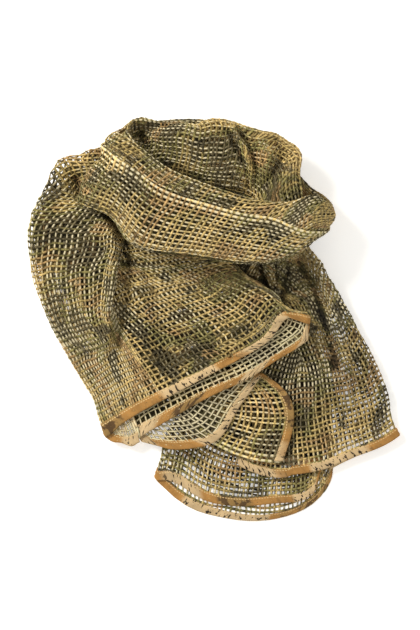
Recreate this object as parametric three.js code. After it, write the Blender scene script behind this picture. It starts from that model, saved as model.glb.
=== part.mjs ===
// A net veil wound once and a half into a neck ring, with both tails brought forward, lying on a bench.
// Millimetres, +Z up, the bench at z = 0. One folded sheet of net, and a binding tape on each short end.
import * as THREE from "three";

const netThickness = 1.1;
const tapeThickness = 2;
const tapeWidth = 10.7;
const seamGap = 0.6; // between the tape and the net that it finishes
const rowStep = 38; // largest distance between two sections along the veil
const slopeStep = 2; // step along the veil for the sheet's slope
const turnAngle = 55; // degrees from the tip of a fold to its first corner
const turnShare = 0.86; // share of the level change that a rounded fold takes up
const flatTurn = 6; // length over which the sheet changes level at a fold line that is spread open
const openRun = 12; // a run at least this long counts as folded or as spread
const roundRun = 1.3; // a run this many times its roundings is fully rounded, a shorter one slants
const fluteWaves = 1.2; // waves of the gathers across a section
const flutePhase = 0.15;
const benchSnap = 0.25; // corners nearer to the bench than this lie on it
const hemLiftRun = 40; // length over which a hem comes down from the tape's height to the net's
const levelOpen = 0.9; // spread below which the folds lie at the ring's levels
const hemPower = 1.5; // how late along a tail the hem's own run-on begins
const riseSpread = 0.7; // spread from which the left tail lies fully up on the right one
const frameShift = [0, -2.4]; // puts the middle of the outer box on the Z axis

// A row for each section along the veil, from the left hem to the right one. The section is a stack of folds
// between an outer and an inner edge: where each edge's neck-side layer lies, how thick the stack is there, the
// turn of the stack's direction about Y, the bow of the section, its gathers, and how far the folds are spread.
const stations = rowsOf(
  ["outerX", "outerY", "outerZ", "outerStack", "innerX", "innerY", "innerZ", "innerStack", "turn", "crown", "flute", "spread"],
  [
    // left tail
    [-132, -137, 25.5, 25.1, 116, -5, 26, 23, 180, 0, 0, 1],
    [-166, -62, 26, 25.6, 89, 17, 28, 23, 180, -1, 0.5, 0.95],
    [-202, 4, 28, 27.6, 60, 46, 31, 23, 180, -2, 1, 0.879],
    [-223, 76, 32, 31.6, 30, 72, 34, 23, 180, -4, 1, 0.72],
    [-217, 133, 32, 31.6, 11, 97, 32, 24, 180, -3, 1, 0.5],
    [-181, 178, 27, 26.6, 8, 112, 27, 23, 180, -1, 0.5, 0.28],
    [-132, 205, 25, 24.6, 8, 127, 24, 22, 180, 0, 0, 0.1],
    // behind the neck, on the bench
    [-85, 234, 25, 24.6, 12, 140, 23, 22.6, 180, 0, 0, 0],
    [-10, 239, 26, 25.6, 24, 150, 22, 21.6, 180, 0, 0, 0],
    [59, 221, 26, 25.6, 54, 145, 22, 21.6, 180, 0, 0, 0],
    [97, 180, 24, 23.6, 90, 131, 22, 21.6, 180, 0, 0, 0],
    // right turn
    [116, 152, 26, 20, 115, 110, 26, 20, 150, 0, 0, 0],
    [126, 134, 41, 20, 124, 96, 41, 20, 90, 2, 0, 0],
    [119, 133, 55, 20, 116, 85, 55, 20, 30, 4, 0, 0],
    // front band
    [101, 136, 58, 20, 96, 74, 58, 20, 0, 6, 0, 0],
    [56, 140, 59, 20, 48, 65, 59, 20, 0, 7, 1, 0],
    [0, 156, 59, 20, -23, 73, 59, 20, 0, 7, 1, 0],
    [-56, 180, 59, 20, -88, 83, 59, 20, 0, 7, 1, 0],
    [-88, 204, 59, 22, -121, 104, 59, 20, 0, 5, 0, 0],
    // left turn
    [-98, 220, 59.5, 25, -137, 126, 58, 20, -45, 2, 0, 0],
    [-104, 229, 54.5, 26, -144, 139, 53, 20, -90, 1, 0, 0],
    [-101, 236, 50, 22, -133, 148, 50, 20, -135, 1, 0, 0],
    // behind the neck, over the first pass
    [-80, 236, 49.5, 21, -104, 157, 50, 20, -180, 1, 0, 0],
    [-49, 236, 54, 20, -54, 161, 50, 20, -180, 2, 0, 0],
    [4, 239, 56, 20, 7, 151, 49, 20, -180, 2, 1, 0],
    [60, 224, 55, 20, 40, 143, 49, 20, -180, 1, 2, 0],
    [106, 194, 53, 20, 47, 136, 49, 20, -180, 1, 2, 0],
    // under the front band and out to the right tail
    [107, 154, 53, 22, 44, 124, 48, 22, -180, 0, 1, 0],
    [108, 107, 52, 24, 36, 100, 36, 23, -180, 0, 0.5, 0.15],
    [119, 77, 30, 25, 30, 71, 23, 20, -180, -1, 0.5, 0.35],
    [145, 41, 21, 20.6, 16, 22, 19, 18.6, -180, -1, 1, 0.6],
    [170, -8, 18, 17.6, -6, -38, 17, 16.6, -180, -0.5, 0.5, 0.861],
    [200, -77, 15, 14.6, -35, -113, 14.5, 14.1, -180, 0, 0, 0.95],
    [222, -137, 12, 11.2, -65, -190, 12, 11.2, -180, 0, 0, 1],
  ],
);

// A row for each run of the sheet between two fold lines, from one long edge to the other; the first row is that
// edge itself. Side is where the run ends (0 outer edge, 1 inner edge) and level its place in the stack (0 neck
// side, 1 outside), at the left hem, in the ring and at the right hem. Reach is how far the hem there runs on past
// the section, and belly how much further the middle of the run hangs. Cuts is its number of inner columns.
const runs = rowsOf(
  ["sideLeft", "sideRing", "sideRight", "levelLeft", "levelRing", "levelRight", "reachLeft", "reachRight", "bellyLeft", "bellyRight", "cuts"],
  [
    [0.12, 0.26, 0.26, 0, 0, 0, 31, 26, 0, 0, 0],
    [0, 0, 0, 0.3, 0.17, 0.33, 4, 1, 0, 0, 2],
    [0.18, 0.93, 0.32, 0, 0, 0, 0, 11, 0, 2, 5],
    [0.3, 0.06, 0.46, 0, 0.3, 0, 0, 13, 0, 0, 3],
    [1, 1, 0.67, 0, 0.44, 0, 7, 4, 0, 6, 7],
    [0.134, 0, 0.33, 0.36, 0.61, 0.33, 26, 31, 6, 0, 6],
    [0.72, 0.97, 1, 0.68, 0.8, 0.67, 28, -2, 50, 41, 6],
    [0.62, 0.27, 0.29, 1, 1, 1, 133, 29, 0, 62, 5],
  ],
);
const hemHeading = { left: [0.469, -0.883], right: [0.178, -0.984] }; // the way that each hem faces
const overTail = { x: -64, y: -170, heading: [0.925, -0.38], from: -80, to: 60, rise: 17 }; // left tail up on the right one
const slump = { x: -10, y: 50, from: 110, to: 215, share: 0.35 }; // left tail's stack settling towards its outer edge
const pouch = { side: -0.22, reach: 36, run: 260, share: 0.4, sway: 0.1, swayRun: 90 }; // sag of the left tail's loose flap
const nose = { run: 4, reach: -14, share: 0.84, spread: 0.09 }; // tuck of the left hem beside its widest fold

function rowsOf(columns, rows) {
  return rows.map((row) => Object.fromEntries(columns.map((name, i) => [name, row[i]])));
}

const mix = (a, b, share) => a + (b - a) * share;
const ease = (x) => THREE.MathUtils.smoothstep(x, 0, 1);

// Distance along the veil at each station, through the middle of the stack.
function stationKnots() {
  const middle = stations.map((row) => {
    const angle = THREE.MathUtils.degToRad(row.turn);
    return new THREE.Vector3(
      (row.outerX + row.innerX) / 2 + (Math.sin(angle) * row.outerStack) / 2,
      (row.outerY + row.innerY) / 2,
      (row.outerZ + row.innerZ) / 2 + (Math.cos(angle) * row.outerStack) / 2,
    );
  });
  const knots = [0];
  for (let i = 1; i < middle.length; i += 1) knots.push(knots[i - 1] + middle[i].distanceTo(middle[i - 1]));
  return knots;
}

const knots = stationKnots();
const veilLength = knots[knots.length - 1];

// Smooth value of one column at a distance along the veil: a cubic with three-point slopes.
function columnAt(name, along) {
  const last = stations.length - 1;
  const value = (i) => stations[i][name];
  const rise = (i) => (value(i + 1) - value(i)) / (knots[i + 1] - knots[i]);
  const slope = (i) => {
    if (i === 0) return rise(0);
    if (i === last) return rise(last - 1);
    const before = knots[i] - knots[i - 1];
    const after = knots[i + 1] - knots[i];
    return (rise(i - 1) * after + rise(i) * before) / (before + after);
  };
  let i = 0;
  while (i < last - 1 && along >= knots[i + 1]) i += 1;
  const step = knots[i + 1] - knots[i];
  const u = (along - knots[i]) / step;
  const fromHere = value(i) * (1 + 2 * u) * (1 - u) ** 2 + slope(i) * step * u * (1 - u) ** 2;
  const fromNext = value(i + 1) * (3 - 2 * u) * u ** 2 + slope(i + 1) * step * (u - 1) * u ** 2;
  return fromHere + fromNext;
}

// The folded section at a distance along the veil: points from one long edge of the sheet to the other.
function sectionAt(along, half) {
  const here = {};
  for (const name of Object.keys(stations[0])) here[name] = columnAt(name, along);
  const spread = THREE.MathUtils.clamp(here.spread, 0, 1);
  const tail = along < veilLength / 2 ? "Left" : "Right";
  const opened = ease((spread - levelOpen) / (1 - levelOpen));
  const hemShare = ease(spread) ** hemPower;
  const spreadShare = ease(spread / riseSpread);
  const sag = Math.sin(Math.PI * Math.min(along / pouch.run, 1));
  const width = Math.hypot(here.outerX - here.innerX, here.outerY - here.innerY, here.outerZ - here.innerZ);
  const stackAt = (side) => mix(here.outerStack, here.innerStack, side);
  const angle = THREE.MathUtils.degToRad(here.turn);
  const heading = hemHeading[tail.toLowerCase()];
  const corner = THREE.MathUtils.degToRad(turnAngle);
  const edges = runs.map((run) => ({
    side: mix(run.sideRing, run["side" + tail], spread),
    level: mix(run.levelRing, run["level" + tail], opened),
    reach: run["reach" + tail] * hemShare,
    belly: run["belly" + tail] * hemShare,
  }));
  const wayOf = (r) => THREE.MathUtils.clamp(((edges[r].side - edges[r - 1].side) * width) / openRun, -1, 1);
  // Rounding at the end of a run: as wide as high where the sheet turns back, longer where it runs on.
  const roundAt = (r) => {
    if (r === 0 || r === runs.length - 1) return flatTurn / width;
    const high = (Math.abs(edges[r].level - edges[r + 1].level) / 2) * stackAt(edges[r].side);
    return mix(high, flatTurn, THREE.MathUtils.clamp(wayOf(r) * wayOf(r + 1), 0, 1)) / width;
  };
  const points = [];
  for (let r = 1; r < runs.length; r += 1) {
    const from = edges[r - 1];
    const to = edges[r];
    const lastRun = r === runs.length - 1;
    const levelFrom = r > 1 ? (from.level + to.level) / 2 : to.level;
    const levelTo = lastRun ? to.level : (edges[r + 1].level + to.level) / 2;
    const roundFrom = roundAt(r - 1);
    const roundTo = roundAt(r);
    const way = THREE.MathUtils.clamp((to.side - from.side) / (roundFrom + roundTo), -1, 1);
    const firm = Math.min(Math.abs(to.side - from.side) / (roundFrom + roundTo) / roundRun, 1) ** 2;
    const flatFrom = mix(levelFrom, to.level, turnShare);
    const flatTo = mix(levelTo, to.level, turnShare);
    const outline = [
      [from.side, levelFrom],
      [from.side + way * roundFrom * (1 - Math.cos(corner)), mix(levelFrom, flatFrom, Math.sin(corner))],
    ];
    for (let c = 0; c < runs[r].cuts; c += 1) {
      const share = c / (runs[r].cuts - 1);
      outline.push([mix(from.side + way * roundFrom, to.side - way * roundTo, share), mix(flatFrom, flatTo, share)]);
    }
    outline.push([to.side - way * roundTo * (1 - Math.cos(corner)), mix(levelTo, flatTo, Math.sin(corner))]);
    if (lastRun) outline.push([to.side, levelTo]);
    outline.forEach(([sideRound, levelRound], i) => {
      const byColumn = i / (lastRun ? outline.length - 1 : outline.length);
      const sideHere = mix(mix(from.side, to.side, byColumn), sideRound, firm);
      const level = mix(mix(levelFrom, levelTo, byColumn), levelRound, firm);
      const bySide = THREE.MathUtils.clamp((sideHere - from.side) / (to.side - from.side || 1), 0, 1);
      const share = mix(byColumn, bySide, Math.abs(wayOf(r)));
      const hang = Math.sin(Math.PI * share);
      let side = sideHere;
      let reach = mix(from.reach, to.reach, share) + to.belly * hang;
      if (tail === "Left" && r === nose.run) {
        reach += nose.reach * hemShare * Math.exp(-(((share - nose.share) / nose.spread) ** 2));
      }
      if (tail === "Left" && lastRun) {
        side += pouch.sway * (1 - ease(along / pouch.swayRun)) * hang;
      }
      if (tail === "Left" && r >= runs.length - 2) {
        const slack = lastRun ? sag : sag * ease((share - pouch.share) / (1 - pouch.share));
        side += pouch.side * slack;
        reach += pouch.reach * slack;
      }
      const flute = here.flute * Math.sin(2 * Math.PI * (fluteWaves * side + flutePhase));
      const lift = level * stackAt(side) + here.crown * 4 * side * (1 - side) + flute;
      const hem = Math.min(along, veilLength - along);
      const least = mix(tapeThickness / 2, half, THREE.MathUtils.clamp((hem - tapeWidth) / hemLiftRun, 0, 1));
      const x = mix(here.outerX, here.innerX, side) + Math.sin(angle) * lift + heading[0] * reach;
      const y = mix(here.outerY, here.innerY, side) + heading[1] * reach;
      const past = (x - overTail.x) * overTail.heading[0] + (y - overTail.y) * overTail.heading[1];
      const rise = tail === "Left" ? overTail.rise * spreadShare * THREE.MathUtils.smoothstep(past, overTail.from, overTail.to) : 0;
      const settled = THREE.MathUtils.smoothstep(Math.hypot(x - slump.x, y - slump.y), slump.from, slump.to);
      const keep = tail === "Left" ? 1 - slump.share * spreadShare * settled : 1;
      const z = (mix(here.outerZ, here.innerZ, side) + Math.cos(angle) * lift) * keep + rise;
      points.push(new THREE.Vector3(x - frameShift[0], y - frameShift[1], Math.max(z, least)));
    });
  }
  return points;
}

// Distances along the veil between two ends: every station, and more where stations are far apart.
function stopsBetween(start, end) {
  const inner = knots.filter((knot) => knot > start + seamGap && knot < end - seamGap);
  const marks = [start, ...inner, end];
  const stops = [start];
  for (let i = 1; i < marks.length; i += 1) {
    const count = Math.ceil((marks[i] - marks[i - 1]) / rowStep);
    for (let n = 1; n <= count; n += 1) stops.push(mix(marks[i - 1], marks[i], n / count));
  }
  return stops;
}

// A closed sheet of even thickness about the folded surface, from one distance along the veil to another.
function sheetGeometry(start, end, thickness) {
  const half = thickness / 2;
  const stops = stopsBetween(start, end);
  const grid = stops.map((along) => sectionAt(along, half));
  const before = stops.map((along) => sectionAt(Math.max(along - slopeStep, 0), half));
  const after = stops.map((along) => sectionAt(Math.min(along + slopeStep, veilLength), half));
  const rows = grid.length;
  const columns = grid[0].length;
  const at = (r, c) => grid[Math.min(Math.max(r, 0), rows - 1)][Math.min(Math.max(c, 0), columns - 1)];
  const positions = [];
  for (const sign of [1, -1]) {
    for (let r = 0; r < rows; r += 1) {
      for (let c = 0; c < columns; c += 1) {
        const alongVeil = new THREE.Vector3().subVectors(after[r][c], before[r][c]);
        const acrossVeil = new THREE.Vector3().subVectors(at(r, c + 1), at(r, c - 1));
        const normal = alongVeil.cross(acrossVeil).normalize();
        const point = at(r, c).clone().addScaledVector(normal, sign * half);
        if (point.z < benchSnap) point.z = 0;
        positions.push(point.x, point.y, point.z);
      }
    }
  }
  const face = (r, c, under) => (under ? rows * columns : 0) + r * columns + c;
  const indices = [];
  const quad = (a, b, c, d) => indices.push(a, b, c, a, c, d);
  for (let r = 0; r < rows - 1; r += 1) {
    for (let c = 0; c < columns - 1; c += 1) {
      quad(face(r, c), face(r + 1, c), face(r + 1, c + 1), face(r, c + 1));
      quad(face(r, c, true), face(r, c + 1, true), face(r + 1, c + 1, true), face(r + 1, c, true));
    }
  }
  for (let c = 0; c < columns - 1; c += 1) {
    quad(face(0, c), face(0, c + 1), face(0, c + 1, true), face(0, c, true));
    quad(face(rows - 1, c, true), face(rows - 1, c + 1, true), face(rows - 1, c + 1), face(rows - 1, c));
  }
  for (let r = 0; r < rows - 1; r += 1) {
    quad(face(r, 0, true), face(r + 1, 0, true), face(r + 1, 0), face(r, 0));
    quad(face(r, columns - 1), face(r + 1, columns - 1), face(r + 1, columns - 1, true), face(r, columns - 1, true));
  }
  const geometry = new THREE.BufferGeometry();
  geometry.setAttribute("position", new THREE.Float32BufferAttribute(positions, 3));
  geometry.setIndex(indices);
  geometry.computeVertexNormals();
  return geometry;
}

function piece(name, geometry, colour) {
  const mesh = new THREE.Mesh(geometry, new THREE.MeshStandardMaterial({ color: colour, roughness: 0.9 }));
  mesh.name = name;
  return mesh;
}

const netStart = tapeWidth + seamGap;
const veil = new THREE.Group();
veil.name = "net_veil_scarf";
veil.add(piece("net_veil", sheetGeometry(netStart, veilLength - netStart, netThickness), 0x7c704a));
veil.add(piece("hem_binding_left", sheetGeometry(0, tapeWidth, tapeThickness), 0xb98a4e));
veil.add(piece("hem_binding_right", sheetGeometry(veilLength - tapeWidth, veilLength, tapeThickness), 0xb98a4e));

export default veil;
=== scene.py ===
import bpy
import numpy as np
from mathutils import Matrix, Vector


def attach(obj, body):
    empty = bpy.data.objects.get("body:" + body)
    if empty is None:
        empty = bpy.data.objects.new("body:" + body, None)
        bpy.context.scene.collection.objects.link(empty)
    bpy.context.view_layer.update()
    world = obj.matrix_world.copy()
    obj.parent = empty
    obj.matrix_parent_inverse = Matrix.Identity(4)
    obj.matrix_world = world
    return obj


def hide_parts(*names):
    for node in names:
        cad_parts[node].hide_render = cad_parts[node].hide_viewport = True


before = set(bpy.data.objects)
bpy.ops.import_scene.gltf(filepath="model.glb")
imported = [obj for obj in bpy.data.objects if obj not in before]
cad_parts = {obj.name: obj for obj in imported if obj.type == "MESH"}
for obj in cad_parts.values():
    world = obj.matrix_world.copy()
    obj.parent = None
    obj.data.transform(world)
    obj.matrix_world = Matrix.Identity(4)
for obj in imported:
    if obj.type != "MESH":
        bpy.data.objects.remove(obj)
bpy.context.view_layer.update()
mm = 0.001
dice = np.random.default_rng(41)
intoScene = bpy.context.collection.objects.link
print("frame loaded, nodes:", len(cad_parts))


# feeds a node's sockets, by name or number: another node's output is linked, a plain value is set
def feed(node, sockets):
    for key, value in sockets.items():
        if isinstance(value, bpy.types.NodeSocket):
            node.id_data.links.new(value, node.inputs[key])
        else:
            node.inputs[key].default_value = value


# the camera looks straight down from far away, so high folds hardly lean outwards
photoFrame = {
    "high": 630,  # the photo's long side, pixels
    "pixel": 1.2,  # millimetres that a pixel covers
    "middle": (-3.6, 6.0),  # what the middle of the frame looks at, millimetres
    "zero": (213, 318),  # the pixel that lies over the sections' zero
    "away": 4000,  # millimetres above the bench
    "scaleHeight": 35,  # height at which the scale holds
    "sensor": 36,
}


# a lens that covers the photo's height: the sensor's width times the distance, over that height
def addCamera(p):
    data = bpy.data.cameras.new("photoCamera")
    data.sensor_width = p["sensor"]
    data.lens = p["sensor"] * (p["away"] - p["scaleHeight"]) / (p["high"] * p["pixel"])
    camera = bpy.data.objects.new("photoCamera", data)
    camera.location = (p["middle"][0] * mm, p["middle"][1] * mm, p["away"] * mm)
    intoScene(camera)
    bpy.context.scene.camera = camera


addCamera(photoFrame)

studio = {
    "floorSize": 12.0,
    "floorColour": (0.95, 0.92, 0.85, 1),
    "floorRough": 0.9,
    "glow": 0.42,  # the lit bench's own white
    "sky": 0.52,  # even white light from all round
    "lamps": [  # place in metres, watts, size
        {"at": (-1.7, 1.3, 1.9), "watts": 72, "size": 0.9},
        {"at": (1.6, -0.9, 2.2), "watts": 10, "size": 2.0},
    ],
}


# a white bench that glows a little, an even sky, and soft lamps turned towards the part
def addStudio(p):
    half = p["floorSize"] / 2
    square = [(-half, -half, 0), (half, -half, 0), (half, half, 0), (-half, half, 0)]
    mesh = bpy.data.meshes.new("benchTop")
    mesh.from_pydata(square, [], [(0, 1, 2, 3)])
    floor = bpy.data.objects.new("benchTop", mesh)
    intoScene(floor)
    paint = bpy.data.materials.new("benchWhite")
    paint.use_nodes = True
    feed(paint.node_tree.nodes["Principled BSDF"], {
        "Base Color": p["floorColour"], "Roughness": p["floorRough"],
        "Emission Color": (1, 1, 1, 1), "Emission Strength": p["glow"],
    })
    mesh.materials.append(paint)
    world = bpy.data.worlds.new("studioSky")
    world.use_nodes = True
    feed(world.node_tree.nodes["Background"], {"Color": (1, 1, 1, 1), "Strength": p["sky"]})
    bpy.context.scene.world = world
    for i, lamp in enumerate(p["lamps"]):
        data = bpy.data.lights.new(f"softLamp{i}", "AREA")
        data.energy = lamp["watts"]
        data.size = lamp["size"]
        light = bpy.data.objects.new(f"softLamp{i}", data)
        light.location = lamp["at"]
        light.rotation_euler = Vector(lamp["at"]).to_track_quat("Z", "Y").to_euler()
        intoScene(light)
    bpy.context.scene.view_settings.view_transform = "Standard"


addStudio(studio)
print("camera and studio placed")

# the veil's path, a row for each section from the left hem to the right one, in millimetres. A section is a
# stack of folds: the place of its neck-side layer and its thickness at the outer and the inner edge, the turn
# of its direction about Y, its bow, its gathers, and how far the folds are spread
sectionNames = [
    "outerX", "outerY", "outerZ", "outerStack", "innerX", "innerY", "innerZ", "innerStack",
    "turn", "crown", "flute", "spread",
]
sectionRows = np.array([
    # left tail
    [-132, -137, 25.5, 25.1, 116, -5, 26, 23, 180, 0, 0, 1],
    [-166, -62, 26, 25.6, 89, 17, 28, 23, 180, -1, 0.5, 0.95],
    [-202, 4, 28, 27.6, 60, 46, 31, 23, 180, -2, 1, 0.879],
    [-223, 76, 32, 31.6, 30, 72, 34, 23, 180, -4, 1, 0.72],
    [-217, 133, 32, 31.6, 11, 97, 32, 24, 180, -3, 1, 0.5],
    [-181, 178, 27, 26.6, 8, 112, 27, 23, 180, -1, 0.5, 0.28],
    [-132, 205, 25, 24.6, 8, 127, 24, 22, 180, 0, 0, 0.1],
    # behind the neck, on the bench
    [-85, 234, 25, 24.6, 12, 140, 23, 22.6, 180, 0, 0, 0],
    [-10, 239, 26, 25.6, 24, 150, 22, 21.6, 180, 0, 0, 0],
    [59, 221, 26, 25.6, 54, 145, 22, 21.6, 180, 0, 0, 0],
    [97, 180, 24, 23.6, 90, 131, 22, 21.6, 180, 0, 0, 0],
    # right turn
    [116, 152, 26, 20, 115, 110, 26, 20, 150, 0, 0, 0],
    [126, 134, 41, 20, 124, 96, 41, 20, 90, 2, 0, 0],
    [119, 133, 55, 20, 116, 85, 55, 20, 30, 4, 0, 0],
    # front band
    [101, 136, 58, 20, 96, 74, 58, 20, 0, 6, 0, 0],
    [56, 140, 59, 20, 48, 65, 59, 20, 0, 7, 1, 0],
    [0, 156, 59, 20, -23, 73, 59, 20, 0, 7, 1, 0],
    [-56, 180, 59, 20, -88, 83, 59, 20, 0, 7, 1, 0],
    [-88, 204, 59, 22, -121, 104, 59, 20, 0, 5, 0, 0],
    # left turn
    [-98, 220, 59.5, 25, -137, 126, 58, 20, -45, 2, 0, 0],
    [-104, 229, 54.5, 26, -144, 139, 53, 20, -90, 1, 0, 0],
    [-101, 236, 50, 22, -133, 148, 50, 20, -135, 1, 0, 0],
    # behind the neck, over the first pass
    [-80, 236, 49.5, 21, -104, 157, 50, 20, -180, 1, 0, 0],
    [-49, 236, 54, 20, -54, 161, 50, 20, -180, 2, 0, 0],
    [4, 239, 56, 20, 7, 151, 49, 20, -180, 2, 1, 0],
    [60, 224, 55, 20, 40, 143, 49, 20, -180, 1, 2, 0],
    [106, 194, 53, 20, 47, 136, 49, 20, -180, 1, 2, 0],
    # under the front band and out to the right tail
    [107, 154, 53, 22, 44, 124, 48, 22, -180, 0, 1, 0],
    [108, 107, 52, 24, 36, 100, 36, 23, -180, 0, 0.5, 0.15],
    [119, 77, 30, 25, 30, 71, 23, 20, -180, -1, 0.5, 0.35],
    [145, 41, 21, 20.6, 16, 22, 19, 18.6, -180, -1, 1, 0.6],
    [170, -8, 18, 17.6, -6, -38, 17, 16.6, -180, -0.5, 0.5, 0.861],
    [200, -77, 15, 14.6, -35, -113, 14.5, 14.1, -180, 0, 0, 0.95],
    [222, -137, 12, 11.2, -65, -190, 12, 11.2, -180, 0, 0, 1],
])

# the runs of net between two fold lines, from one long edge to the other; the first row is that edge. Side
# is where a run ends (0 outer, 1 inner) and level its place in the stack (0 neck side, 1 outside), at the
# left hem, in the ring and at the right hem; reach and belly are how far the hem runs on, yarns its share of
# the net's width in the ring, and dense how close its yarns lie in the left tail
runNames = [
    "sideLeft", "sideRing", "sideRight", "levelLeft", "levelRing", "levelRight",
    "reachLeft", "reachRight", "bellyLeft", "bellyRight", "yarns", "dense",
]
runRows = np.array([
    [0.132, 0.26, 0.3, 0, 0, 0, 31, 25, 0, 0, 0, 1],
    [0, 0, 0, 0.3, 0.17, 0.33, 4, 1, 0, 0, 0.035, 2],
    [0.18, 0.93, 0.32, 0, 0, 0, 0, 23, 0, 2, 0.095, 1.02],
    [0.3, 0.06, 0.46, 0, 0.3, 0, 0, 24, 0, 0, 0.18, 1],
    [1, 1, 0.67, 0, 0.44, 0, -1, 4, 0, 9, 0.25, 1],
    [0.134, 0, 0.33, 0.36, 0.61, 0.33, 26, 20, 6, 0, 0.25, 1],
    [0.72, 0.97, 1, 0.68, 0.8, 0.67, 28, -2, 50, 47, 0.11, 1],
    [0.62, 0.27, 0.29, 1, 1, 1, 133, 29, 0, 62, 0.08, 1.4],
])
run = dict(zip(runNames, runRows.T[:, :, None]))
runCount = len(runRows) - 1

fold = {
    "turnShare": 0.86,  # share of a level change that a rounded fold takes up
    "flatTurn": 6,  # length of a level change where the sheet runs on
    "openRun": 12,  # a run this long counts as folded or as spread
    "roundRun": 1.3,  # a run this many times its roundings is fully round
    "waves": 1.2,  # gathers across a section
    "wavePhase": 0.15,
    "levelOpen": 0.9,  # spread from which the layers go over to their order at the hem
    "hemPower": 1.5,  # how late the hem's own shape comes in
    "riseSpread": 0.7,  # spread at which the tail slumps and climbs in full
    "least": 1.1,  # lowest middle of the net, so that its yarns lie on the bench
    "bendSteps": 5,  # points in a rounding, and in the straight between two
    "flatSteps": 18,
    "shiftY": -2.4,  # puts the middle of the outer box on the Z axis
}
# which way the hems run on
hemHeading = {"left": (0.469, -0.883), "right": (0.178, -0.984)}
# the left tail climbs on the right one, past a line through this place
overTail = {"x": -64, "y": -170, "heading": (0.925, -0.38), "from": -80, "to": 60, "rise": 17}
# and sinks towards the bench away from this one
slump = {"x": -10, "y": 50, "from": 110, "to": 215, "share": 0.35}
# the flap's loose belly beside the left hem
pouch = {"side": -0.22, "reach": 36, "run": 260, "share": 0.4, "sway": 0.1, "swayRun": 90}
fullHang = 0.65  # the right hem hangs fuller than a sine
flap = {"slide": 0.6, "from": 400, "to": 610, "run": 90}  # its free edge slides down the band's right end

# rounded hem loops beside a fold line: the tail, the run, by how much its hem runs on there, where and how
# far along the run, and how much further the net behind the tape runs on
loops = [
    ["left", 1, 12, 0.45, 0.3, 0],
    ["left", 4, -18, 0.92, 0.14, -6],
    ["left", 5, 14, 0.08, 0.14, 0],
    ["left", 5, 11, 0.34, 0.2, 0],
    ["left", 6, 9, 0.12, 0.14, 0],
    ["left", 6, -14, 0.72, 0.2, 0],
    ["right", 6, -12, 0.92, 0.1, 0],
    ["right", 6, 11, 0.1, 0.16, 0],
    ["right", 7, 8, 0.1, 0.16, 0],
    ["right", 7, 0, 0.5, 0.4, 3],
]
flareRun = 11  # millimetres from the hem over which a loop flares
loopFade = 0.07  # a loop ends at the fold lines

# the left hem's rounded corner at a fold line: the run, by what share of the section's width it lies further
# in or out, and where and how far along the run
corners = [
    [4, -0.024, 1, 0.1],
    [5, -0.024, 0, 0.03],
    [5, 0.022, 0.07, 0.05],
]
cornerRun = 13  # millimetres from the hem over which the corner ends

# stretches of the veil, by the distance along it
stretches = {
    "leftTail": (-100, 290), "firstPass": (290, 500), "band": (500, 840), "bowl": (840, 1110),
    "rightTail": (1110, 1600),
}
stretchFade = 50  # millimetres over which one stretch goes over to the next

# where the cloth lies beside its sections, in each stretch: a place in the photo's frame, how far the shift
# reaches round it, and the shift to the right and down, all in pixels
shifts = {
    "leftTail": [
        (62, 166, 20, -6, -10), (92, 152, 10, -2, -4), (304, 314, 7, 1, -5), (284, 308, 9, 0, 5),
        (252, 272, 22, -9, 4), (112, 275, 38, 15, 0), (89, 398, 18, 4, 0), (308, 322, 9, 6, 0),
        (112, 436, 9, 0, 5), (148, 438, 8, -5, 4),
    ],
    "band": [
        (330, 245, 20, -9, -4), (329, 221, 10, 5, -2), (312, 203, 15, 1, -11), (104, 226, 20, 7, -7),
        (114, 124, 13, 7, 6), (96, 157, 13, 9, 0),
    ],
    "bowl": [
        (114, 124, 13, 7, 6), (96, 157, 13, 9, 0), (142, 120, 10, 0, -4), (305, 172, 12, -4, 0),
        (196, 119, 11, 0, 6), (250, 124, 12, 0, 2), (277, 136, 10, 0, -4), (296, 144, 12, 4, -1),
    ],
    "rightTail": [
        (244, 262, 16, -9, 0), (372, 375, 60, 6, 2), (385, 450, 36, 3, 4), (318, 490, 40, 0, 7),
        (162, 473, 18, -4, 4), (172, 435, 26, -9, 0), (318, 262, 12, 4, -1), (393, 416, 16, -4, -1),
    ],
}

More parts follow.
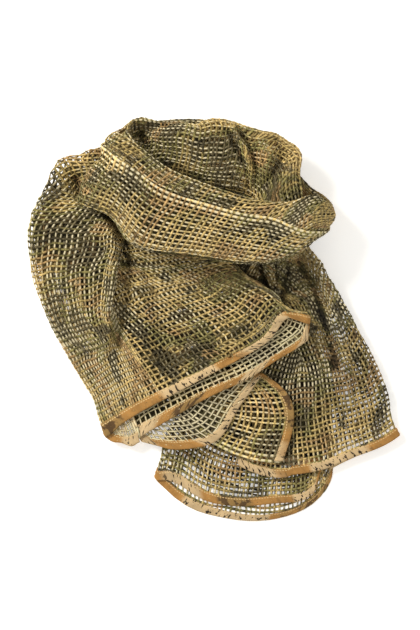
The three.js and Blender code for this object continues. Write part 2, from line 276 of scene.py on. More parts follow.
# folds that the light shows, in each stretch: the width that a fold reaches to both sides, by what share the
# cloth on it lies higher or lower, and its line in the photo's frame
folds = {
    "leftTail": [
        (7, 0.42, (77, 200), (98, 212), (110, 230), (114, 252), (112, 300), (106, 345)),
        (5, 0.15, (106, 345), (104, 370), (104, 396)),
        (6, -0.6, (103, 207), (116, 221), (124, 240), (126, 262)),
        (6, -0.35, (126, 262), (126, 285), (121, 315), (116, 345)),
        (6, -0.85, (75, 178), (78, 189), (86, 199)),
        (5, -0.35, (141, 261), (148, 278), (158, 312), (160, 347), (162, 371)),
        (4, -0.3, (156, 325), (188, 336), (222, 353), (229, 358)),
        (9, 0.2, (137, 275), (141, 320), (139, 370)),
        (20, -0.6, (140, 138), (156, 158), (176, 178), (200, 192)),
    ],
    "firstPass": [
        (26, -0.7, (140, 138), (156, 158), (176, 178), (248, 198)),
    ],
    "bowl": [
        (24, -0.5, (180, 182), (210, 194), (248, 198)),
        (16, -0.48, (142, 142), (156, 158), (176, 178), (200, 192)),
        (4, -0.3, (136, 134), (150, 127), (172, 123), (196, 122)),
        (7, -0.35, (137, 129), (147, 139)),
        (2.5, -0.17, (251, 197), (246, 166), (236, 147), (228, 131)),
        (3, 0.15, (252, 195), (251, 168), (243, 147), (232, 128)),
        (2.5, -0.17, (253, 195), (256, 175), (254, 159), (246, 142), (236, 126)),
        (6, 0.15, (254, 195), (263, 178), (268, 160), (260, 138)),
        (3, -0.14, (254, 196), (266, 183), (277, 168), (283, 156), (277, 140)),
        (8, 0.15, (258, 197), (284, 178), (296, 162)),
    ],
    "rightTail": [
        (16, -0.35, (302, 272), (318, 312)),
        (6, -0.5, (300, 262), (316, 290), (328, 330), (336, 365)),
        (6, 0.35, (312, 262), (332, 300), (344, 345), (350, 400)),
        (4, -0.45, (288, 262), (283, 300)),
        (2.5, -0.5, (240, 268), (254, 283), (271, 297)),
        (2.5, -0.5, (258, 258), (265, 278), (272, 297)),
        (2.5, -0.5, (276, 258), (277, 278), (274, 297)),
    ],
}


# a + (b - a) times share
def mix(a, b, share):
    return a + (b - a) * share


# 3x^2 - 2x^3 between 0 and 1, and level outside
def ease(x):
    x = np.clip(x, 0, 1)
    return x * x * (3 - 2 * x)


# exp(-((x - at) / wide)^2): 1 at a place and less beside it
def hump(x, at, wide):
    return np.exp(-((x - at) / wide) ** 2)


# distance along the veil of each section, summed through the middle of the stack
def sectionPlaces():
    s = dict(zip(sectionNames, sectionRows.T))
    angle = np.radians(s["turn"])
    lean = {"X": np.sin(angle), "Y": 0, "Z": np.cos(angle)}
    middle = [(s["outer" + a] + s["inner" + a]) / 2 + lean[a] * s["outerStack"] / 2 for a in "XYZ"]
    return np.concatenate([[0], np.cumsum(np.linalg.norm(np.diff(middle, axis=1), axis=0))])


places = sectionPlaces()
veilLength = places[-1]


# each column of the section table at these distances: a cubic between two rows with their three-point slopes
def sectionValues(along):
    gap = np.diff(places)[:, None]
    rise = np.diff(sectionRows, axis=0) / gap
    inner = (rise[:-1] * gap[1:] + rise[1:] * gap[:-1]) / (gap[1:] + gap[:-1])
    slope = np.concatenate([rise[:1], inner, rise[-1:]])
    i = np.clip(np.searchsorted(places, along, side="right") - 1, 0, len(gap) - 1)
    step = gap[i]
    u = (along - places[i])[:, None] / step
    here = sectionRows[i] * (1 + 2 * u) * (1 - u) ** 2 + slope[i] * step * u * (1 - u) ** 2
    ahead = sectionRows[i + 1] * (3 - 2 * u) * u ** 2 + slope[i + 1] * step * (u - 1) * u ** 2
    return dict(zip(sectionNames, (here + ahead).T[:, :, None]))


# one run of the folded section: a quarter ellipse out of the fold before it, a straight, and a quarter
# ellipse into the fold after it; a short run leans towards the straight line between its two folds
def runOutline(r, side, level, rounding):
    sideFrom, sideTo = side[r - 1], side[r]
    levelFrom = (level[r - 1] + level[r]) / 2 if r > 1 else level[r]
    levelTo = (level[r] + level[r + 1]) / 2 if r < runCount else level[r]
    both = rounding[r - 1] + rounding[r]
    lean = np.clip((sideTo - sideFrom) / both, -1, 1)
    firm = np.minimum(np.abs(sideTo - sideFrom) / both / fold["roundRun"], 1) ** 2
    flatFrom = mix(levelFrom, level[r], fold["turnShare"])
    flatTo = mix(levelTo, level[r], fold["turnShare"])
    bend = np.linspace(0, np.pi / 2, fold["bendSteps"], endpoint=False)
    flat = np.linspace(0, 1, fold["flatSteps"])
    back = bend[::-1]
    roundSide = np.hstack([
        sideFrom + lean * rounding[r - 1] * (1 - np.cos(bend)),
        mix(sideFrom + lean * rounding[r - 1], sideTo - lean * rounding[r], flat),
        sideTo - lean * rounding[r] * (1 - np.cos(back)),
    ])
    roundLevel = np.hstack([
        mix(levelFrom, flatFrom, np.sin(bend)),
        mix(flatFrom, flatTo, flat),
        mix(levelTo, flatTo, np.sin(back)),
    ])
    byColumn = np.linspace(0, 1, roundSide.shape[1])
    sideHere = mix(mix(sideFrom, sideTo, byColumn), roundSide, firm)
    levelHere = mix(mix(levelFrom, levelTo, byColumn), roundLevel, firm)
    width = np.where(sideTo == sideFrom, 1, sideTo - sideFrom)
    bySide = np.clip((sideHere - sideFrom) / width, 0, 1)
    return sideHere, levelHere, byColumn, bySide


# how far the flap's free edge has slid towards the inner side: eased in and out between two distances
def flapSlide(along):
    come = ease((along - flap["from"]) / flap["run"])
    return flap["slide"] * come * ease((flap["to"] - along) / flap["run"])


# a value of all fold lines at the hem on whose half of the veil these distances lie
def atHem(name, left):
    return np.where(left, run[name + "Left"][:, None], run[name + "Right"][:, None])


# side and level of all fold lines, between their places in the ring and at the hem
def foldLines(along, left, spread):
    opened = ease((spread - fold["levelOpen"]) / (1 - fold["levelOpen"]))
    side = mix(run["sideRing"][:, None], atHem("side", left), spread)
    side[-1] += flapSlide(along)
    return side, mix(run["levelRing"][:, None], atHem("level", left), opened)


# which way each run goes, -1 to 1, and the lengths of the roundings in section widths: half the height
# between two layers where the sheet folds back, and a flat turn where it runs on
def foldRoundings(side, level, here):
    width = np.sqrt(sum((here["outer" + a] - here["inner" + a]) ** 2 for a in "XYZ"))
    way = np.clip(np.diff(side, axis=0) * width / fold["openRun"], -1, 1)
    stack = mix(here["outerStack"], here["innerStack"], side[1:-1])
    high = np.abs(level[1:-1] - level[2:]) / 2 * stack
    inner = mix(high, fold["flatTurn"], np.clip(way[:-1] * way[1:], 0, 1))
    edge = np.full_like(inner[:1], fold["flatTurn"])
    return way, np.concatenate([edge, inner, edge]) / width


# how far the hem's loops let a run reach on: the sum of their humps, each eased to 0 at the fold lines
def hemLoops(r, share, along, left):
    reach = 0
    for tail, ownRun, by, at, wide, flare in loops:
        if ownRun == r:
            bump = hump(share, at, wide) * ease((1 - share) / loopFade) * ease(share / loopFade)
            by = by + flare * ease(np.minimum(along, veilLength - along) / flareRun)
            reach += (left == (tail == "left")) * by * bump
    return reach


# how far a run of the left tail lies aside and reaches on: the hem's corner, the flap's sway, and the pouch's
# sag, a sine along the veil, whole on the last run and past a share on the one before it
def looseTail(r, share, hang, along):
    aside, reach = 0, 0
    for ownRun, further, at, wide in corners:
        if ownRun == r:
            aside += further * hump(share, at, wide) * (1 - ease(along / cornerRun))
    if r == runCount:
        aside += pouch["sway"] * (1 - ease(along / pouch["swayRun"])) * hang
    if r >= runCount - 1:
        loose = 1 if r == runCount else ease((share - pouch["share"]) / (1 - pouch["share"]))
        sag = np.sin(np.pi * np.minimum(along / pouch["run"], 1)) * loose
        aside += pouch["side"] * sag
        reach = pouch["reach"] * sag
    return aside, reach


# height of the tail, by a share, after it slumps away from one place and climbs past a line
def slumped(x, y, z, share):
    away = np.hypot(x - slump["x"], y - slump["y"])
    low = ease((away - slump["from"]) / (slump["to"] - slump["from"]))
    past = (x - overTail["x"]) * overTail["heading"][0] + (y - overTail["y"]) * overTail["heading"][1]
    climb = ease((past - overTail["from"]) / (overTail["to"] - overTail["from"]))
    return z * (1 - slump["share"] * share * low) + overTail["rise"] * share * climb


# 1 within a stretch of the veil, eased to 0 past its two ends
def within(name, along):
    begin, end = stretches[name]
    return ease((along - begin) / stretchFade + 0.5) * ease((end - along) / stretchFade + 0.5)


# 1 on a bent line and exp(-(distance / reach)^2) beside it
def nearLine(x, y, line, reach):
    least = np.full(x.shape, np.inf)
    for (ax, ay), (bx, by) in zip(line[:-1], line[1:]):
        goX, goY = bx - ax, by - ay
        part = np.clip(((x - ax) * goX + (y - ay) * goY) / (goX ** 2 + goY ** 2), 0, 1)
        least = np.minimum(least, (x - ax - part * goX) ** 2 + (y - ay - part * goY) ** 2)
    return np.exp(-least / reach ** 2)


# moves the cloth by the shifts, then raises or lowers it along the folds. Both depend on the place over the
# bench and the stretch alone, so layers that lie on each other move together
def settled(x, y, z, along):
    pixel = photoFrame["pixel"]
    right = x / pixel + photoFrame["zero"][0]
    down = photoFrame["zero"][1] - y / pixel
    moveRight, moveDown = 0, 0
    for stretch, rows in shifts.items():
        inside = within(stretch, along)
        for atRight, atDown, reach, byRight, byDown in rows:
            share = np.exp(-((right - atRight) ** 2 + (down - atDown) ** 2) / reach ** 2) * inside
            moveRight += share * byRight
            moveDown += share * byDown
    right, down = right + moveRight, down + moveDown
    for stretch, rows in folds.items():
        inside = within(stretch, along)
        for reach, by, *line in rows:
            z = z * (1 + by * nearLine(right, down, line, reach) * inside)
    return x + moveRight * pixel, y - moveDown * pixel, z


# the folded sheet at these distances: for each run its points as (distances, columns, 3), at a lane between
# the section's edges and a layer of its stack, run on along the hem's heading; also the folds' spread
def foldedRuns(along):
    here = sectionValues(along)
    along = along[:, None]
    left = along < veilLength / 2
    spread = np.clip(here["spread"], 0, 1)
    hemShare = ease(spread) ** fold["hemPower"]
    angle = np.radians(here["turn"])
    heading = np.where(left[..., None], hemHeading["left"], hemHeading["right"])
    side, level = foldLines(along, left, spread)
    way, rounding = foldRoundings(side, level, here)
    reach, belly = atHem("reach", left), atHem("belly", left)
    made = []
    for r in range(1, runCount + 1):
        lane, layer, byColumn, bySide = runOutline(r, side, level, rounding)
        share = mix(byColumn, bySide, np.abs(way[r - 1]))
        hang = np.sin(np.pi * np.clip(share, 0, 1)).clip(0)
        aside, further = looseTail(r, share, hang, along)
        lane += left * aside
        on = mix(reach[r - 1], reach[r], share) + belly[r] * np.where(left, hang, hang ** fullHang)
        on = (on + hemLoops(r, share, along, left)) * hemShare + left * further
        flute = here["flute"] * np.sin(2 * np.pi * (fold["waves"] * lane + fold["wavePhase"]))
        lift = layer * mix(here["outerStack"], here["innerStack"], lane) + flute
        lift += here["crown"] * 4 * lane * (1 - lane)
        x = mix(here["outerX"], here["innerX"], lane) + np.sin(angle) * lift + heading[..., 0] * on
        y = mix(here["outerY"], here["innerY"], lane) + heading[..., 1] * on
        z = mix(here["outerZ"], here["innerZ"], lane) + np.cos(angle) * lift
        z = slumped(x, y, z, left * ease(spread / fold["riseSpread"]))
        x, y, z = settled(x, y, z, along)
        made.append(np.stack([x, y - fold["shiftY"], np.maximum(z, fold["least"])], axis=-1))
    return made, spread


# length along each row of points, from 0 at its start, as (rows, columns)
def lengthAlong(points):
    steps = np.linalg.norm(np.diff(points, axis=1), axis=2)
    return np.hstack([np.zeros((len(points), 1)), np.cumsum(steps, axis=1)])


# one sheet of all runs, each without its last column, with which the next one begins
def joined(runs):
    return np.hstack([r[:, :-1] for r in runs[:-1]] + [runs[-1]])


# the point of each row whose mark is the wanted one; marks rise from 0 to 1 along a row. Rows are set 2 apart
# on one number line, so that one straight-line lookup serves them all
def pointsAt(points, marks, wanted):
    rows, columns = marks.shape
    lift = 2.0 * np.arange(rows)[:, None]
    index = np.tile(np.arange(columns, dtype=float), rows)
    spot = np.interp((wanted + lift).ravel(), (marks + lift).ravel(), index).reshape(rows, -1)
    low = np.clip(spot.astype(int), 0, columns - 2)
    part = (spot - low)[..., None]
    row = np.arange(rows)[:, None]
    return mix(points[row, low], points[row, low + 1], part)


net = {
    "width": 860,  # millimetres across, spread out
    "acrossPitch": 5.6,  # between lengthwise yarns, spread out
    "alongPitch": 5.8,  # between crosswise yarns
    "ownSpread": 0.4,  # folds spread this far share the yarns by length
    "evenRun": 50,  # the shares are evened out this far to both sides
    "heldAt": 170,  # from here to the left hem a yarn keeps to its run, by this share
    "heldShare": 0.7,
    "start": 4,  # the net runs this far short of the hem, inside the tape
    "fineStep": 2.5,  # step along the veil at which the sheet is worked out
    "squareAt": (684, 960),  # crosswise yarns lie square across the band and the bowl here
    "squareShare": 0.8,
    "lengthYarn": (2.3, 1.3),  # width and thickness
    "crossYarn": (2.7, 1.3),
    "edgeWide": 1.5,  # the two yarns along each long edge are this much wider
    "weave": 0.45,  # how far a yarn rises over another
    "jitter": 0.13,  # unevenness of the mesh, in pitches
    "jitterRuns": (90, 40),  # bends of a lengthwise and of a crosswise yarn
    "heldYarns": 4,  # yarns beside a long edge that don't wander across
    "uneven": 0.12,  # unevenness of the yarns' width
    "coverCell": 9,  # cells of the bench in which the net is looked for over itself
    "coverGap": 1.4,  # a yarn this far below another is covered
    # the widened covered yarns carry painted shade, so the holes of stacked net look dark
    "coveredWide": 1.9,  # covered yarns of the tails are wider, which closes the view
    "openFrom": 0.97,  # but not beside the right hem, past this share of the length
    "openRun": 0.04,
    "underRun": 5,  # in the left tail this run is covered too, up to this spread of the folds
    "underTo": 0.93,
    "pieces": ["net_left_tail", "net_first_pass", "net_front_band", "net_bowl", "net_right_tail"],
}
cellsAlong = int(veilLength / net["alongPitch"])


# shares of the net's width that the runs take: set ones in the ring and by length in the tails, evened out
# along the veil; within a run by length. Also each run's beginning
def widthMarks(runs, spread, along, p):
    length = np.stack([lengthAlong(r)[:, -1] for r in runs], axis=1)
    length = length * np.where(along[:, None] < veilLength / 2, run["dense"][1:, 0], 1)
    own = length / length.sum(axis=1, keepdims=True)
    heldRow = np.searchsorted(along, p["heldAt"])
    own[:heldRow] = mix(own[:heldRow], own[heldRow], p["heldShare"])
    ring = np.repeat(run["yarns"][1:, 0][None], len(along), axis=0)
    ring[:, -1] *= 1 - flapSlide(along) / (run["sideRing"][-2] - run["sideRing"][-1])
    ring /= ring.sum(axis=1, keepdims=True)
    share = mix(ring, own, ease(spread / p["ownSpread"]))
    window = int(p["evenRun"] / p["fineStep"])
    padded = np.pad(share, ((window, window), (0, 0)), mode="edge")
    total = np.pad(np.cumsum(padded, axis=0), ((1, 0), (0, 0)))
    share = (total[2 * window + 1:] - total[:-2 * window - 1]) / (2 * window + 1)
    begin = np.cumsum(share, axis=1) - share
    marks = []
    for r, points in enumerate(runs):
        length = lengthAlong(points)
        marks.append(begin[:, r:r + 1] + share[:, r:r + 1] * length / length[:, -1:])
    return marks, begin


# smooth random field: random values on a coarse grid, eased between its points, just short of the last one
def softNoise(rows, columns, coarseRows, coarseColumns):
    grid = dice.standard_normal((coarseRows + 1, coarseColumns + 1))
    r = np.linspace(0, coarseRows - 1e-6, rows)
    c = np.linspace(0, coarseColumns - 1e-6, columns)
    ri, ci = r.astype(int), c.astype(int)
    rf, cf = ease(r - ri)[:, None], ease(c - ci)[None]
    top = mix(grid[ri][:, ci], grid[ri][:, ci + 1], cf)
    low = mix(grid[ri + 1][:, ci], grid[ri + 1][:, ci + 1], cf)
    return mix(top, low, rf)


# crossing points of the net as (crosswise yarns, lengthwise yarns, 3): lengthwise yarns at set shares of the
# width, crosswise ones at set shares of each yarn's own length, taken whole and between the square places.
# Also these shares, how far the folds are spread, and each crossing's run
def netGrid(p):
    along = np.linspace(p["start"], veilLength - p["start"], int(veilLength / p["fineStep"]))
    runs, spread = foldedRuns(along)
    marks, begin = widthMarks(runs, spread, along, p)
    across = np.linspace(0, 1, int(p["width"] / p["acrossPitch"]) + 1)
    lengthwise = pointsAt(joined(runs), joined(marks), across[None]).swapaxes(0, 1)
    own = lengthAlong(lengthwise)
    whole = own / own[:, -1:]
    square = np.zeros_like(whole)
    stops = [0, *np.searchsorted(along, p["squareAt"]), len(along) - 1]
    for low, high in zip(stops[:-1], stops[1:]):
        span = own[:, low:high + 1]
        part = (span - span[:, :1]) / (span[:, -1:] - span[:, :1])
        square[:, low:high + 1] = mix(whole[:, low].mean(), whole[:, high].mean(), part)
    lineMark = mix(whole, square, p["squareShare"])
    wanted = np.linspace(0, 1, cellsAlong + 1)
    grid = pointsAt(lengthwise, lineMark, wanted[None]).swapaxes(0, 1)
    spreadAt = np.interp(wanted, np.linspace(0, 1, len(along)), spread[:, 0])
    beginAt = begin[np.linspace(0, len(along) - 1, len(wanted)).astype(int)]
    runAt = (across[None, :, None] >= beginAt[:, None]).sum(axis=2)
    print("lengthwise yarns", grid.shape[1], "of about", own[:, -1].mean().round(), "mm")
    return grid, across, wanted, spreadAt, runAt


# the same vectors with length 1
def unit(vectors):
    return vectors / np.maximum(np.linalg.norm(vectors, axis=2, keepdims=True), 1e-9)


# unit normal of a sheet at each of its points: along the first axis crossed with along the second
def gridNormals(grid):
    return unit(np.cross(np.gradient(grid, axis=0), np.gradient(grid, axis=1)))


# uneven mesh: each yarn wanders a little in the plane of the net, by smooth noise of its own
def unevenGrid(grid, p):
    rows, columns = grid.shape[:2]
    acrossStep = np.gradient(grid, axis=1)
    alongStep = np.gradient(grid, axis=0)
    acrossMove = softNoise(rows, columns, p["jitterRuns"][0], columns - 1) * p["jitter"]
    alongMove = softNoise(rows, columns, rows - 1, p["jitterRuns"][1]) * p["jitter"]
    free = np.zeros((1, columns, 1))
    free[:, p["heldYarns"]:-p["heldYarns"]] = 1
    return grid + acrossStep * acrossMove[..., None] * free + alongStep * alongMove[..., None]


# walls of tubes, from the first point of each ring but the last: each joins two points of a ring with the
# same two of the next
def tubeWalls(first, around):
    first = first[..., None]
    a = np.arange(around)
    b = (a + 1) % around
    return np.stack([first + a, first + around + a, first + around + b, first + b], axis=-1).reshape(-1, 4)


# four-sided yarns along the second axis of lines: a ring of points at each crossing, at half the thickness
# above and below the net and half the width to both sides, with both ends closed
def yarnTubes(lines, normals, wide, thick):
    yarns, steps = lines.shape[:2]
    sideways = unit(np.cross(normals, unit(np.gradient(lines, axis=1))))
    up = normals * (thick / 2)
    out = sideways * (wide / 2)[..., None]
    rings = np.stack([lines + up, lines + out, lines - up, lines - out], axis=2)
    start = np.arange(yarns)[:, None] * steps * 4
    walls = tubeWalls(start + np.arange(steps - 1) * 4, 4)
    end = start + (steps - 1) * 4
    caps = [start + np.array([[0, 1, 2, 3]]), end + np.array([[3, 2, 1, 0]])]
    return rings.reshape(-1, 3), np.concatenate([walls, *caps])


# a new mesh object from whole arrays: points in millimetres, four-cornered faces, uv and point values
def makePiece(name, points, faces, uv, values, material):
    mesh = bpy.data.meshes.new(name)
    mesh.vertices.add(len(points))
    mesh.vertices.foreach_set("co", (points * mm).ravel())
    mesh.loops.add(faces.size)
    mesh.loops.foreach_set("vertex_index", faces.ravel().astype(np.int32))
    mesh.polygons.add(len(faces))
    mesh.polygons.foreach_set("loop_start", np.arange(0, faces.size, 4, dtype=np.int32))
    mesh.polygons.foreach_set("use_smooth", np.ones(len(faces), dtype=bool))
    mesh.update(calc_edges=True)
    layer = mesh.uv_layers.new(name="cloth")
    layer.data.foreach_set("uv", uv[faces.ravel()].ravel())
    for key, value in values.items():
        mesh.attributes.new(key, "FLOAT", "POINT").data.foreach_set("value", value.ravel())
    mesh.materials.append(material)
    piece = bpy.data.objects.new(name, mesh)
    intoScene(piece)
    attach(piece, "root")
    return piece


# a colour from sRGB steps to the linear values of sockets
def colour(red, green, blue):
    s = np.array([red, green, blue]) / 255
    linear = np.where(s <= 0.04045, s / 12.92, ((s + 0.055) / 1.055) ** 2.4)
    return (*linear.tolist(), 1)


# a node with these sockets and settings
def addNode(tree, kind, sockets, **settings):
    node = tree.nodes.new(kind)
    for key, value in settings.items():
        setattr(node, key, value)
    feed(node, sockets)
    return node


# noise over the cloth's place, stretched and moved
def addNoise(place, scale, detail, at=(0, 0), stretch=(1, 1), bend=0.0):
    tree = place.id_data
    laid = {"Vector": place, "Location": (*at, 0), "Scale": (*stretch, 1)}
    moved = addNode(tree, "ShaderNodeMapping", laid).outputs["Vector"]
    sockets = {"Vector": moved, "Scale": scale, "Detail": detail, "Distortion": bend}
    return addNode(tree, "ShaderNodeTexNoise", sockets, noise_dimensions="2D").outputs["Fac"]


# colour ramp of a value, by stops of a place and a colour or a grey
def addRamp(value, stops):
    node = addNode(value.id_data, "ShaderNodeValToRGB", {"Fac": value})
    ramp = node.color_ramp
    while len(ramp.elements) < len(stops):
        ramp.elements.new(1)
    for element, (place, tone) in zip(ramp.elements, stops):
        element.position = place
        element.color = tone if isinstance(tone, tuple) else (tone, tone, tone, 1)
    return node.outputs["Color"]


# one colour over another, by a share
def addMix(blend, under, over, share=1.0):
    sockets = {0: share, 6: under, 7: over}
    node = addNode(under.id_data, "ShaderNodeMix", sockets, data_type="RGBA", blend_type=blend)
    return node.outputs[2]


# a sum, product or the like of one or two values
def addMaths(kind, *values):
    sockets = dict(enumerate(values))
    return addNode(values[0].id_data, "ShaderNodeMath", sockets, operation=kind).outputs[0]


# a value that the mesh has at its points
def addValue(tree, name):
    return addNode(tree, "ShaderNodeAttribute", {}, attribute_name=name).outputs["Fac"]


# a dull cloth's material, its node tree, and the place on it by its own uv in metres
def startCloth(name, p):
    material = bpy.data.materials.new(name)
    material.use_nodes = True
    tree = material.node_tree
    feed(tree.nodes["Principled BSDF"], {"Roughness": p["rough"], "Specular IOR Level": p["shine"]})
    return material, tree, addNode(tree, "ShaderNodeUVMap", {}, uv_map="cloth").outputs["UV"]


# gives a cloth its colour and a small relief
def finishCloth(tree, base, height, p):
    bump = addNode(tree, "ShaderNodeBump", {"Height": height, **p["bump"]}).outputs["Normal"]
    feed(tree.nodes["Principled BSDF"], {"Base Color": base, "Normal": bump})


camouflage = {
    "rough": 0.85,
    "shine": 0.25,
    "tan": (178, 152, 96),
    "khaki": (158, 136, 82),
    "olive": (120, 110, 64),
    "dark": (88, 78, 52),
    "rust": (152, 123, 78),
    "bare": (242, 226, 182),  # the yarn's own cream
    "blotches": {"scale": 15, "detail": 3, "at": (0.3, 0.6), "bend": 0.6},  # noises, in waves to a metre
    "patches": {"scale": 25.5, "detail": 2, "at": (0.9, 6.7)},
    "flecks": {"scale": 330, "detail": 2},
    "fuzz": {"Scale": 1600, "Detail": 3},
    "tones": [
        (0.36, "dark"), (0.40, "olive"), (0.47, "olive"), (0.50, "khaki"), (0.57, "khaki"), (0.60, "tan"),
    ],
    "rustFrom": [(0.60, 0), (0.64, 1)],  # high patches are rust
    "darkTo": [(0.36, 1), (0.40, 0)],  # and low ones dark
    "fleckShade": [(0.32, 0.45), (0.68, 1.45)],
    "cells": cellsAlong / (veilLength * mm),  # rows of cells to a metre
    "dashFrom": 0.16,  # a bare dash lies between two crosswise yarns, this far from the middle, in pitches
    "dashTo": 0.38,
    "bump": {"Strength": 0.5, "Distance": 0.0004},
}


# generic blotched print: two noises choose the tones, a fine one breaks them up, the point value tone makes
# them lighter or darker, by the print's unevenness and by painted light and shade, and the yarn's bare cream
# shows by the point value bare, or dash in mid cell
def netMaterial(p):
    material, tree, place = startCloth("printedNet", p)
    base = addRamp(addNoise(place, **p["blotches"]), [(at, colour(*p[tone])) for at, tone in p["tones"]])
    patches = addNoise(place, **p["patches"])
    base = addMix("MIX", base, colour(*p["rust"]), addRamp(patches, p["rustFrom"]))
    base = addMix("MIX", base, colour(*p["dark"]), addRamp(patches, p["darkTo"]))
    base = addMix("MULTIPLY", base, addRamp(addNoise(place, **p["flecks"]), p["fleckShade"]))
    # tone holds painted light and shade along with the print's unevenness
    base = addMix("MULTIPLY", base, addValue(tree, "tone"))
    along = addNode(tree, "ShaderNodeSeparateXYZ", {"Vector": place}).outputs["Y"]
    phase = addMaths("FRACT", addMaths("MULTIPLY", along, p["cells"]))
    apart = addMaths("ABSOLUTE", addMaths("SUBTRACT", phase, 0.5))
    fade = {"Value": apart, "From Min": p["dashFrom"], "From Max": p["dashTo"], "To Min": 1, "To Max": 0}
    pulse = addNode(tree, "ShaderNodeMapRange", fade, interpolation_type="SMOOTHSTEP").outputs["Result"]
    pale = addMaths("MAXIMUM", addValue(tree, "bare"), addMaths("MULTIPLY", addValue(tree, "dash"), pulse))
    base = addMix("MIX", base, colour(*p["bare"]), pale)
    body = addNode(tree, "ShaderNodeTexCoord", {}).outputs["Object"]
    fuzz = addNode(tree, "ShaderNodeTexNoise", {"Vector": body, **p["fuzz"]}).outputs["Fac"]
    finishCloth(tree, base, fuzz, p)
    return material


bareYarn = {
    "bareFrom": 0.84,  # the unprinted side shows at the left hem, where the folds are spread this far
    "bareRun": 0.1,
    "reverse": 0.9,  # its cream, times a least share and what chance adds
    "reverseChance": (0.6, 0.6),
    "dashShare": 0.4,  # share of the lengthwise yarns' dashes that show their cream
    "dashPatches": (30, 14),  # soft patches of them along and across the net
    "patchDepth": 0.45,
    "strongDash": (0.4, 0.6),  # a dash's least cream and what chance adds
    "faintDash": (0, 0.25),
    "edgeDash": (0.6, 0.4),  # along the two long edges
    "bulgePrint": 0.1,  # the dashes are this much fainter on the first runs of the left tail
    "bulgeRuns": 3,
    "longTone": 1.08,  # how light the print is on the lengthwise yarns, its unevenness and its patches
    "longUneven": 0.12,
    "longPatches": 60,
    "edgeTone": 0.65,  # lighter by this along the two long edges
    "crossTone": 0.95,  # the same for the crosswise yarns
    "crossUneven": 0.16,
    "crossPatches": 30,
    # painted light and shade: lighter or darker by this at these shares of the veil's length from the left
    # hem, lightest over the bowl and darkest over the right tail
    "paintedShadingAt": (0.22, 0.28, 0.4, 0.45, 0.54, 0.6, 0.66, 0.71, 0.75, 0.79, 0.86, 0.94, 0.99),
    "paintedShadingBy": (0.14, 0.02, 0.02, 0.18, 0.18, 0.02, 0.2, 0.34, 0.44, 0.02, -0.23, -0.28, 0.25),
    "flapTone": 0.35,  # lighter on the flap, up to this share of the length
    "flapTo": 0.16,
    "flapRun": 0.06,
    # painted shade: yarns that lie under more of the net are darker, for the shade between stacked layers
    "coveredShade": 0.58,  # darker where the net is covered
}


# a least value, and up to so much more by even chance
def chance(least, more, shape):
    return least + more * dice.random(shape)


# how bare the yarns are at the left hem, on their two sides: the runs before the last two on the one, the
# next to last on the other
def hemBare(inLeft, spreadAt, runAt, p):
    near = ease((spreadAt - p["bareFrom"]) / p["bareRun"])[:, None] * inLeft
    share = np.clip(p["reverse"] * near * chance(*p["reverseChance"], runAt.shape), 0, 1)
    return share * (runAt < runCount - 1), share * (runAt == runCount - 1)


# bare dashes of the lengthwise yarns: random ones, more in some soft patches, fainter on the left tail's
# first runs, and all along the two long edges
def bareDashes(inLeft, runAt, atEdge, p):
    shape = runAt.shape
    patch = ease(softNoise(*shape, *p["dashPatches"]) * p["patchDepth"] + 0.5)
    strong = dice.random(shape) < 2 * p["dashShare"] * patch
    dash = np.where(strong, chance(*p["strongDash"], shape), chance(*p["faintDash"], shape))
    dash *= 1 - p["bulgePrint"] * inLeft * (runAt <= p["bulgeRuns"])
    dash[:, atEdge] = chance(*p["edgeDash"], (shape[0], len(atEdge)))
    return dash


# how light both sets of yarns are: the print's soft noise along each yarn, times a shade along the veil of
# painted light and shade, lighter on the flap, and with painted shade where the net is covered
def yarnTones(down, runAt, covered, atEdge, p):
    rows, columns = runAt.shape
    longTone = p["longTone"] + p["longUneven"] * softNoise(rows, columns, p["longPatches"], columns - 1)
    longTone[:, atEdge] += p["edgeTone"]
    crossTone = p["crossTone"] + p["crossUneven"] * softNoise(rows, columns, rows - 1, p["crossPatches"])
    onFlap = ease((p["flapTo"] - down) / p["flapRun"])[:, None] * (runAt == runCount)
    shade = 1 + np.interp(down, p["paintedShadingAt"], p["paintedShadingBy"])[:, None]
    shade = shade + p["flapTone"] * onFlap - p["coveredShade"] * covered
    return longTone * shade, crossTone * shade


# widths of both sets of yarns, as shares: soft noise, wider where covered in the tails, and the lengthwise
# ones wider along the two long edges
def yarnWidths(down, spreadAt, covered, atEdge, p):
    rows, columns = covered.shape
    wide = 1 + p["uneven"] * softNoise(rows, columns, rows // 2, columns // 2)
    inTails = ease(spreadAt / p["ownSpread"]) * ease((p["openFrom"] - down) / p["openRun"])
    wide *= 1 + (p["coveredWide"] - 1) * covered * inTails[:, None]
    longWide = wide.copy()
    longWide[:, atEdge] *= p["edgeWide"]
    return longWide, wide


# 1 where the net lies under more of itself: where in its own cell of the bench and in all eight round it the
# highest crossing is more than a gap above
def coveredNet(grid, p):
    cell = ((grid[..., :2] - grid[..., :2].min(axis=(0, 1))) / p["coverCell"]).astype(int) + 1
    top = np.full(cell.max(axis=(0, 1)) + 2, -np.inf)
    np.maximum.at(top, (cell[..., 0], cell[..., 1]), grid[..., 2])
    around = [np.roll(top, (i, j), axis=(0, 1)) for i in (-1, 0, 1) for j in (-1, 0, 1)]
    lowest = np.min(around, axis=0)[cell[..., 0], cell[..., 1]]
    return (lowest > grid[..., 2] + p["coverGap"]).astype(float)


# the same value at all four points of a yarn's ring
def fourTimes(value):
    return np.repeat(value[..., None], 4, axis=-1)


